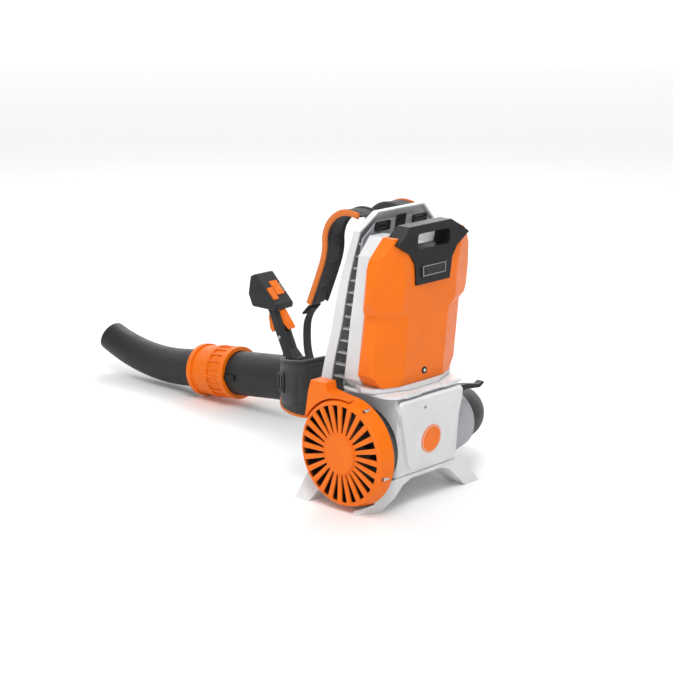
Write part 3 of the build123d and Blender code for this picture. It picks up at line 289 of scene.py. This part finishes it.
orange = moulded_plastic("orange_plastic", ORANGE, 0.38)
white = moulded_plastic("white_plastic", WHITE, 0.40, wear=0.15)
grey = moulded_plastic("grey_plastic", GREY, 0.48)
dark = moulded_plastic("dark_plastic", DARK, 0.46, grain=0.00012, pits=1100)
black = moulded_plastic("black_plastic", BLACK, 0.42, grain=0.0001)
rubber = moulded_plastic("hose_rubber", (0.03, 0.03, 0.032), 0.6, grain=0.0001, wear=0.2)
steel = metal("steel", (0.62, 0.62, 0.64), 0.3)
alloy = metal("alloy", (0.56, 0.57, 0.59), 0.42, (60, 900, 900))
cell_wrap = moulded_plastic("cell_wrap", (0.05, 0.16, 0.30), 0.3, wear=0.0)
board = moulded_plastic("board", (0.02, 0.14, 0.05), 0.35, wear=0.0)
lens = moulded_plastic("light", (0.62, 0.80, 0.70), 0.2, wear=0.0, coat=0.6)
plate = moulded_plastic("plate", (0.022, 0.022, 0.024), 0.3, wear=0.1)
pad_fabric = spacer_fabric("harness_fabric", (0.030, 0.031, 0.034))
piping_cloth = woven_tape("piping", (0.85, 0.16, 0.006), "Z", 2400)
tape_x = woven_tape("webbing", (0.020, 0.020, 0.022), "X")
tape_z = woven_tape("webbing_hip", (0.020, 0.020, 0.022), "Z")
thread_dark = woven_tape("thread_dark", (0.06, 0.06, 0.065), "Z", 4000)

FINISH = {
    "orange_plastic": orange, "white_plastic": white, "grey_plastic": grey, "dark_plastic": dark,
    "black_plastic": black, "hose_rubber": rubber, "steel": steel, "alloy": alloy,
    "cell_wrap": cell_wrap, "board": board, "light": lens, "plate": plate,
    "harness_fabric": pad_fabric, "webbing": tape_x,
}
for entry in frame["record"]["subparts"]:
    node_object = NODES[entry["node"]]
    node_object.data.materials.clear()
    node_object.data.materials.append(FINISH[entry["material_slot"]])


# ---------------------------------------------------------------- softened edges of moulded parts
SHARP_EDGE, EDGE_SEGMENTS = math.radians(24), 3


def soften(node, width):
    """Real rounding on the edges of a CAD node, by modifiers."""
    moulded = NODES[node]
    weld = moulded.modifiers.new("weld", "WELD")
    weld.merge_threshold = 0.00001
    flat = moulded.modifiers.new("flat", "DECIMATE")
    flat.decimate_type = "DISSOLVE"
    flat.angle_limit = math.radians(0.5)
    bevel = moulded.modifiers.new("bevel", "BEVEL")
    bevel.width, bevel.segments = width, EDGE_SEGMENTS
    bevel.limit_method = "ANGLE"
    bevel.angle_limit = SHARP_EDGE
    bevel.harden_normals = True


SOFTENED = {
    "battery_shell": 0.006, "battery_handle": 0.0035, "battery_case": 0.004, "stand": 0.0022,
    "control_head": 0.0015, "throttle_trigger": 0.0015, "lock_lever": 0.0015, "battery_latch": 0.001,
    "speed_rocker": 0.001, "nameplate": 0.0004, "strap_adjusters": 0.0007, "hip_buckles": 0.0007,
    "strap_sliders": 0.0007, "battery_tray": 0.0012,
}
for softened, width in SOFTENED.items():
    soften(softened, width)


# ---------------------------------------------------------------- swept pieces
def smooth_route(points, count):
    """Evenly spaced points of the NURBS curve of order 3 with these control points."""
    data = bpy.data.curves.new("route", "CURVE")
    data.dimensions = "3D"
    spline = data.splines.new("NURBS")
    spline.points.add(len(points) - 1)
    for control, point in zip(spline.points, points):
        control.co = (*point, 1)
    spline.use_endpoint_u = True
    spline.order_u = 3
    spline.resolution_u = 40
    carrier = bpy.data.objects.new("route", data)
    line = [vertex.co.copy() for vertex in bpy.data.meshes.new_from_object(carrier).vertices]
    bpy.data.objects.remove(carrier)
    run = [0.0]
    for before, after in zip(line, line[1:]):
        run.append(run[-1] + (after - before).length)
    even, place = [], 0
    for step in range(count):
        wanted = run[-1] * step / (count - 1)
        while place < len(run) - 2 and run[place + 1] < wanted:
            place += 1
        span = max(run[place + 1] - run[place], 1e-9)
        even.append(line[place].lerp(line[place + 1], (wanted - run[place]) / span))
    return even, run[-1]


def frames_along(points, across):
    """Point, across and off directions at each point of a route."""
    made = []
    for index, point in enumerate(points):
        ahead = points[min(index + 1, len(points) - 1)] - points[max(index - 1, 0)]
        off = across.cross(ahead).normalized()
        made.append((point, across, off))
    return made


def new_piece(name, verts, faces, material, slot, body="frame_body"):
    """Smooth-shaded mesh object that rides on a body."""
    mesh = bpy.data.meshes.new(name)
    mesh.from_pydata([tuple(v) for v in verts], [], faces)
    mesh.polygons.foreach_set("use_smooth", [True] * len(faces))
    piece = bpy.data.objects.new(name, mesh)
    bpy.context.scene.collection.objects.link(piece)
    mesh.materials.append(material)
    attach(piece, body)
    return piece


def skin(rings):
    """Vertices and faces of a closed skin over rings of equal count."""
    count = len(rings[0])
    verts = [point for ring in rings for point in ring]
    faces = []
    for index in range(len(rings) - 1):
        for place in range(count):
            following = (place + 1) % count
            low, high = index * count, (index + 1) * count
            faces.append((low + place, low + following, high + following, high + place))
    faces.append(tuple(reversed(range(count))))
    faces.append(tuple(range((len(rings) - 1) * count, len(rings) * count)))
    return verts, faces


def add_skin(verts, faces, rings):
    """Adds a closed skin over rings to lists of vertices and faces."""
    start = len(verts)
    more_verts, more_faces = skin(rings)
    verts += more_verts
    faces += [tuple(start + index for index in face) for face in more_faces]


def squared(value, power):
    """Value with its size raised to a power, which turns a circle into a rounded box."""
    return math.copysign(abs(value) ** power, value)


def strand(name, points, across, half_wide, half_thick, material, slot, sides=12):
    """Flat tape or rounded binding along points."""
    rings = []
    for point, wide, off in frames_along(points, across):
        ring = []
        for side in range(sides):
            angle = 2 * math.pi * side / sides
            a = half_wide * squared(math.cos(angle), 0.5)
            b = half_thick * squared(math.sin(angle), 0.7)
            ring.append(point + a * wide + b * off)
        rings.append(ring)
    return new_piece(name, *skin(rings), material, slot)


STITCH_LENGTH, STITCH_R, STITCH_SIDES = 0.0032, 0.0005, 6
STITCH_RINGS = ((-1, 0.3), (-0.6, 1), (0.6, 1), (1, 0.3))    # shares of the half length and of the radius


def stitch_row(name, points, off, spacing, material):
    """Row of thread stitches, each a short rounded bar."""
    verts, faces = [], []
    travelled, wanted = 0.0, spacing / 2
    for before, after in zip(points, points[1:]):
        step = (after - before).length
        while travelled + step > wanted:
            middle = before.lerp(after, (wanted - travelled) / step)
            ahead = (after - before).normalized() * STITCH_LENGTH / 2
            side = ahead.cross(off).normalized() * STITCH_R
            up = off * STITCH_R
            rings = []
            for along, thin in STITCH_RINGS:
                ring = []
                for turn in range(STITCH_SIDES):
                    angle = 2 * math.pi * turn / STITCH_SIDES
                    out = math.cos(angle) * side + math.sin(angle) * up
                    ring.append(middle + along * ahead + thin * out)
                rings.append(ring)
            add_skin(verts, faces, rings)
            wanted += spacing
        travelled += step
    return new_piece(name, verts, faces, material, "webbing")


# ---------------------------------------------------------------- padded harness
PUFF_FRAMES = 14


def puff(piece, most):
    """Inflates a closed pad with a cloth simulation; no point moves further than most."""
    start = [vertex.co.copy() for vertex in piece.data.vertices]
    cloth = piece.modifiers.new("cloth", "CLOTH")
    cloth.settings.quality = 4
    cloth.settings.mass = 0.25
    cloth.settings.tension_stiffness = 22
    cloth.settings.compression_stiffness = 22
    cloth.settings.shear_stiffness = 8
    cloth.settings.bending_stiffness = 0.4
    cloth.settings.use_pressure = True
    cloth.settings.uniform_pressure_force = 3.5
    cloth.settings.effector_weights.gravity = 0
    cloth.point_cache.frame_start, cloth.point_cache.frame_end = 1, PUFF_FRAMES
    for step in range(1, PUFF_FRAMES + 1):
        bpy.context.scene.frame_set(step)
    shaped = piece.evaluated_get(bpy.context.evaluated_depsgraph_get()).data
    moved = [vertex.co.copy() for vertex in shaped.vertices]
    piece.modifiers.remove(cloth)
    bpy.context.scene.frame_set(1)
    for vertex, before, after in zip(piece.data.vertices, start, moved):
        shift = after - before
        vertex.co = before + (shift if shift.length < most else shift.normalized() * most)


def groove(distance, width):
    """Depth share of a sewn channel at a distance from its line."""
    return math.exp(-((distance / width) ** 2))


PAD_STATIONS = 96
PUFF_ROOM = 0.0022        # left round each pad for the simulation to fill
PUFF_MOST = 0.004


def pad(name, node, route, across, half_wide, half_thick, sewn, sides=56, end_round=0.02):
    """Padded band with rounded ends; half_wide is a function of the share of its length,
    and sewn(share, run, a) gives how far its faces are drawn in."""
    points, length = smooth_route(route, PAD_STATIONS)
    laid = frames_along(points, across)
    rings, places = [], []
    for index, (point, wide, off) in enumerate(laid):
        share = index / (PAD_STATIONS - 1)
        run = share * length
        edge = min(run, length - run, end_round)
        closing = max(0.04, math.sqrt(max(0.0, 1 - (1 - edge / end_round) ** 2)))
        ring = []
        for side in range(sides):
            angle = 2 * math.pi * side / sides
            flat = squared(math.cos(angle), 0.42)
            crown = squared(math.sin(angle), 0.62)
            a = (half_wide(share) - PUFF_ROOM) * flat * (1 - 0.35 * (1 - closing))
            b = (half_thick - PUFF_ROOM) * crown * closing
            ring.append(point + a * wide + b * off)
            face = math.copysign(1.0, crown) if abs(crown) > 0.3 else 0.0
            places.append((share, run, a, face, off))
        rings.append(ring)
    piece = new_piece(name, *skin(rings), pad_fabric, "harness_fabric")
    puff(piece, PUFF_MOST)
    for vertex, (share, run, a, face, off) in zip(piece.data.vertices, places):
        vertex.co -= off * (face * sewn(share, run, a))
    piece.modifiers.new("smooth", "SUBSURF").render_levels = 1
    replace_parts(piece, node)
    return laid


PAD_X = 0.065
PAD_HALF, PAD_HALF_THICK = 0.0275, 0.0072
SEAM_OFFSET, SEAM_LIFT = 0.0065, 0.0064    # stitches, in from an edge and off the middle of a pad
STITCH_SPACING = 0.0055
PAD_ROUTE = [
    (0.026, 0.6175), (0.062, 0.628), (0.104, 0.612), (0.130, 0.575), (0.128, 0.530), (0.146, 0.480),
    (0.179, 0.404),
]
SHOULDER_SEAM = 0.017
WEB_HALF, WEB_HALF_THICK, WEB_STATIONS = 0.0125, 0.0011, 60
WEB_ROUTE = [(0.184, 0.396), (0.205, 0.374), (0.209, 0.330), (0.205, 0.286), (0.186, 0.255), (0.154, 0.243)]


def shoulder_seams(share, run, a):
    """Two long seams and cross channels of a shoulder pad."""
    long_seam = groove(abs(a) - SHOULDER_SEAM, 0.0022)
    cross = groove((run + 0.02) % 0.062 - 0.031, 0.0035) * (abs(a) < SHOULDER_SEAM)
    return 0.0016 * max(long_seam, cross)


def side_points(route, x):
    """Points of a route given as (y, z), in the plane at x."""
    return [Vector((x, y, z)) for y, z in route]


for side_name, side in (("left", -1), ("right", 1)):
    laid = pad(
        f"shoulder_pad_{side_name}_cover", f"shoulder_pad_{side_name}", side_points(PAD_ROUTE, side * PAD_X),
        X_AXIS, lambda share: PAD_HALF, PAD_HALF_THICK, shoulder_seams,
    )
    middle = laid[2:-2]
    for edge_name, edge in (("outer", side), ("inner", -side)):
        rim = [point + edge * (PAD_HALF - 0.0005) * wide for point, wide, _ in middle]
        finish = piping_cloth if edge_name == "outer" else tape_z
        strand(
            f"shoulder_binding_{side_name}_{edge_name}", rim, X_AXIS, 0.0030, 0.0070, finish, "harness_fabric"
        )
        for face, face_name in ((-1, "under"), (1, "over")):
            row = [
                point + edge * (PAD_HALF - SEAM_OFFSET) * wide + face * off * SEAM_LIFT
                for point, wide, off in middle
            ]
            stitch_row(
                f"shoulder_stitch_{side_name}_{edge_name}_{face_name}", row, X_AXIS, STITCH_SPACING,
                thread_dark,
            )
    web, _ = smooth_route(side_points(WEB_ROUTE, side * PAD_X), WEB_STATIONS)
    web_piece = strand(
        f"shoulder_web_{side_name}_tape", web, X_AXIS, WEB_HALF, WEB_HALF_THICK, tape_x, "webbing", sides=24,
    )
    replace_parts(web_piece, f"shoulder_web_{side_name}")
    for edge, edge_name in ((-1, "a"), (1, "b")):
        row = [
            point + edge * (WEB_HALF - 0.002) * wide + off * WEB_HALF_THICK
            for point, wide, off in frames_along(web, X_AXIS)
        ]
        stitch_row(f"web_stitch_{side_name}_{edge_name}", row, X_AXIS, 0.005, thread_dark)


HIP_ROUTE = [(0.042, 0.1367), (0.118, 0.140), (0.142, 0.182), (0.122, 0.236), (0.084, 0.2628)]
HIP_Z = 0.228


def hip_half(share):
    """Half height of a hip pad, tapering to its tip."""
    return 0.066 - 0.030 * max(0.0, share - 0.25) ** 1.2


def hip_seams(share, run, a):
    """A border seam and slanting channels of a hip pad."""
    border = groove(abs(a) - hip_half(share) + 0.013, 0.0025)
    inside = abs(a) < hip_half(share) - 0.014
    channel = groove((a + 0.35 * run + 0.2) % 0.036 - 0.018, 0.003) * inside
    return 0.0017 * max(border, channel)


for side_name, side in (("left", -1), ("right", 1)):
    route = [Vector((side * x, y, HIP_Z)) for x, y in HIP_ROUTE]
    laid = pad(
        f"hip_pad_{side_name}_cover", f"hip_pad_{side_name}", route, Z_AXIS, hip_half, PAD_HALF_THICK,
        hip_seams, sides=84,
    )
    for edge_name, edge in (("lower", -1), ("upper", 1)):
        rim = [
            point + edge * (hip_half(index / (PAD_STATIONS - 1)) - 0.0008) * wide
            for index, (point, wide, _) in enumerate(laid[2:-2], 2)
        ]
        finish = piping_cloth if edge < 0 else tape_z
        strand(f"hip_binding_{side_name}_{edge_name}", rim, Z_AXIS, 0.0030, 0.0058, finish, "harness_fabric")
        for face, face_name in ((-1, "under"), (1, "over")):
            row = [
                point - edge * SEAM_OFFSET * Z_AXIS + face * SEAM_LIFT * off
                for point, (_, _, off) in zip(rim, laid[2:-2])
            ]
            stitch_row(
                f"hip_stitch_{side_name}_{edge_name}_{face_name}", row, Z_AXIS, STITCH_SPACING, thread_dark
            )


BACK_HALF, BACK_HALF_THICK = 0.086, 0.0082
BACK_ROUTE = [(0.1125, 0.3185), (0.093, 0.386), (0.080, 0.450), (0.061, 0.518), (0.0425, 0.5675)]


def back_seams(share, run, a):
    """A hollow down the middle of the back pad, and cross channels."""
    spine = groove(a, 0.012) * 2.2
    cross = groove((run + 0.005) % 0.058 - 0.029, 0.004)
    border = groove(abs(a) - 0.074, 0.003)
    return 0.0018 * max(spine, cross, border)


pad(
    "back_pad_cover", "back_pad", side_points(BACK_ROUTE, 0), X_AXIS, lambda share: BACK_HALF,
    BACK_HALF_THICK, back_seams, sides=120, end_round=0.016,
)

# ---------------------------------------------------------------- pleated hose
HOSE_START_Y, HOSE_REACH, HOSE_R, FAN_Z, TUBE_X = 0.062, 0.493, 0.052, 0.127, 0.254
TUBE_DROP = math.radians(6)
BEND_R = HOSE_REACH / math.sin(TUBE_DROP)
PLEATS, PLEAT_DEPTH, PLEAT_STEPS, PLEAT_POWER = 50, 0.0045, 8, 0.6
CUFF_RISE = 20        # the pleats reach their depth within 1/20 of the hose from each end
HOSE_SIDES = 64
HINGE_BALL_R, HINGE_BALL_BANDS = 0.0472, 8


def hose_point(share):
    """Centre of the hose and its direction, share of its length from the elbow."""
    angle = TUBE_DROP * share
    y = HOSE_START_Y + BEND_R * math.sin(angle)
    z = FAN_Z - BEND_R * (1 - math.cos(angle))
    return Vector((TUBE_X, y, z)), Vector((0, math.cos(angle), -math.sin(angle)))


def hose_ring(centre, along, radius):
    """Circle of points across the hose."""
    up = X_AXIS.cross(along)
    return [
        centre + radius * (math.cos(turn) * X_AXIS + math.sin(turn) * up)
        for turn in (2 * math.pi * side / HOSE_SIDES for side in range(HOSE_SIDES))
    ]


def hose_part(name, node, first, last, body):
    """Pleated stretch of the hose between two shares of its length."""
    rings = []
    for step in range(round(first * PLEATS * PLEAT_STEPS), round(last * PLEATS * PLEAT_STEPS) + 1):
        share = step / (PLEATS * PLEAT_STEPS)
        cuffed = min(1.0, CUFF_RISE * share, CUFF_RISE * (1 - share))
        wave = abs(math.sin(math.pi * step / PLEAT_STEPS)) ** PLEAT_POWER
        radius = HOSE_R - PLEAT_DEPTH * (1 - wave) * cuffed
        rings.append(hose_ring(*hose_point(share), radius))
    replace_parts(new_piece(name, *skin(rings), rubber, "hose_rubber", body), node)


hose_part("pleated_hose_rear", "hose_rear", 0, 0.5, "elbow")
hose_part("pleated_hose_front", "hose_front", 0.5, 1, "blow_tube")

# ball inside the two halves, which fills the wedge that opens when the hose bends
hinge, hinge_along = hose_point(0.5)
ball_rings = []
for band in range(-HINGE_BALL_BANDS, HINGE_BALL_BANDS + 1):
    reach = HINGE_BALL_R * band / (2 * HINGE_BALL_BANDS)
    ball_rings.append(
        hose_ring(hinge + reach * hinge_along, hinge_along, math.sqrt(HINGE_BALL_R ** 2 - reach ** 2))
    )
new_piece("hose_hinge_core", *skin(ball_rings), rubber, "hose_rubber", "elbow")


# ---------------------------------------------------------------- small details
BEAD_SIDES = 8


def bead_angles():
    """Angles round the section of a thin bead."""
    return [2 * math.pi * part / BEAD_SIDES for part in range(BEAD_SIDES)]


def ring_piece(name, centre, facing, radius, thick, material, slot, body, turns=64):
    """Ring of round section about a point, facing along a direction."""
    facing = facing.normalized()
    first = facing.orthogonal().normalized()
    second = facing.cross(first)
    verts, faces = [], []
    for step in range(turns):
        angle = 2 * math.pi * step / turns
        out = math.cos(angle) * first + math.sin(angle) * second
        for turn in bead_angles():
            verts.append(centre + out * (radius + thick * math.cos(turn)) + facing * thick * math.sin(turn))
    for step in range(turns):
        here, there = step * BEAD_SIDES, (step + 1) % turns * BEAD_SIDES
        for part in range(BEAD_SIDES):
            following = (part + 1) % BEAD_SIDES
            faces.append((here + part, there + part, there + following, here + following))
    return new_piece(name, verts, faces, material, slot, body)


DOME_BANDS, DOME_TURNS = 6, 40
DIP_SHARE, DIP_DEPTH = 0.35, 0.45        # of the head's radius and of its height


def dome(name, centre, facing, radius, high, material, slot, body):
    """Low round head with a round dip in its middle."""
    facing = facing.normalized()
    first = facing.orthogonal().normalized()
    second = facing.cross(first)
    verts, faces = [], []
    for band in range(DOME_BANDS + 1):
        share = band / DOME_BANDS
        for step in range(DOME_TURNS):
            angle = 2 * math.pi * step / DOME_TURNS
            out = math.cos(angle) * first + math.sin(angle) * second
            dip = 0.0 if share > DIP_SHARE else -DIP_DEPTH * high
            verts.append(centre + out * radius * share + facing * (high * math.sqrt(1 - share ** 4) + dip))
    for band in range(DOME_BANDS):
        inner, outer = band * DOME_TURNS, (band + 1) * DOME_TURNS
        for step in range(DOME_TURNS):
            after = (step + 1) % DOME_TURNS
            faces.append((inner + step, outer + step, outer + after, inner + after))
    return new_piece(name, verts, faces, material, slot, body)


# status button: dark ring round a pale key
REARWARDS = Vector((0, -1, 0))
BUTTON = Vector((0, -0.0760, 0.288))
ring_piece("status_ring", BUTTON + Vector((0, 0.0012, 0)), REARWARDS, 0.0068, 0.0013, black,
           "black_plastic", "battery")
dome("status_key_face", BUTTON + Vector((0, -0.0002, 0)), REARWARDS, 0.0036, 0.0006, lens, "light",
     "status_key")

# screws of the intake cover, set in their seats
SCREW_ANGLES = (119.7, 197.5, 285.0, 20.0)
SCREW_RING_R, SCREW_HEAD_X = 0.116, -0.1707
for place, angle in enumerate(SCREW_ANGLES):
    turn = math.radians(angle)
    head = Vector((SCREW_HEAD_X, SCREW_RING_R * math.cos(turn), FAN_Z + SCREW_RING_R * math.sin(turn)))
    dome(f"cover_screw_{place}", head, -X_AXIS, 0.0042, 0.0012, steel, "steel", "frame_body")

# thin edge lines: hub and rim of the cover, and badge
COVER_FACE = Vector((-0.186, 0, FAN_Z))
BADGE_CENTRE, BADGE_TILT = Vector((0, -0.0961, 0.140)), math.radians(5.16)
ring_piece("cover_hub_line", COVER_FACE + Vector((-0.0021, 0, 0)), X_AXIS, 0.0405, 0.0007, orange,
           "orange_plastic", "frame_body", turns=96)
ring_piece("cover_rim_line", COVER_FACE + Vector((0.0002, 0, 0)), X_AXIS, 0.1065, 0.0009, orange,
           "orange_plastic", "frame_body", turns=128)
badge_facing = Vector((0, -math.cos(BADGE_TILT), -math.sin(BADGE_TILT)))
ring_piece("badge_line", BADGE_CENTRE + badge_facing * 0.0020, badge_facing, 0.0290, 0.0006, white,
           "white_plastic", "frame_body", turns=96)


def frame_line(name, corners, thick, material, slot, body):
    """Thin bead on a face that looks to the rear, round four corners."""
    closed = [Vector(corner) for corner in corners]
    depth = Vector((0, 1, 0))
    verts, faces = [], []
    for corner, after in zip(closed, closed[1:] + closed[:1]):
        along = (after - corner).normalized()
        across = along.cross(depth).normalized()
        add_skin(verts, faces, [
            [point + thick * (math.cos(turn) * across + math.sin(turn) * depth) for turn in bead_angles()]
            for point in (corner - along * thick, after + along * thick)
        ])
    return new_piece(name, verts, faces, material, slot, body)


PLATE_HALF, PLATE_LOW, PLATE_HIGH, PLATE_Y = 0.036, 0.502, 0.522, -0.0999
plate_corners = [
    (-PLATE_HALF, PLATE_Y, PLATE_LOW), (PLATE_HALF, PLATE_Y, PLATE_LOW), (PLATE_HALF, PLATE_Y, PLATE_HIGH),
    (-PLATE_HALF, PLATE_Y, PLATE_HIGH),
]
frame_line("plate_frame", plate_corners, 0.0007, grey, "grey_plastic", "battery")
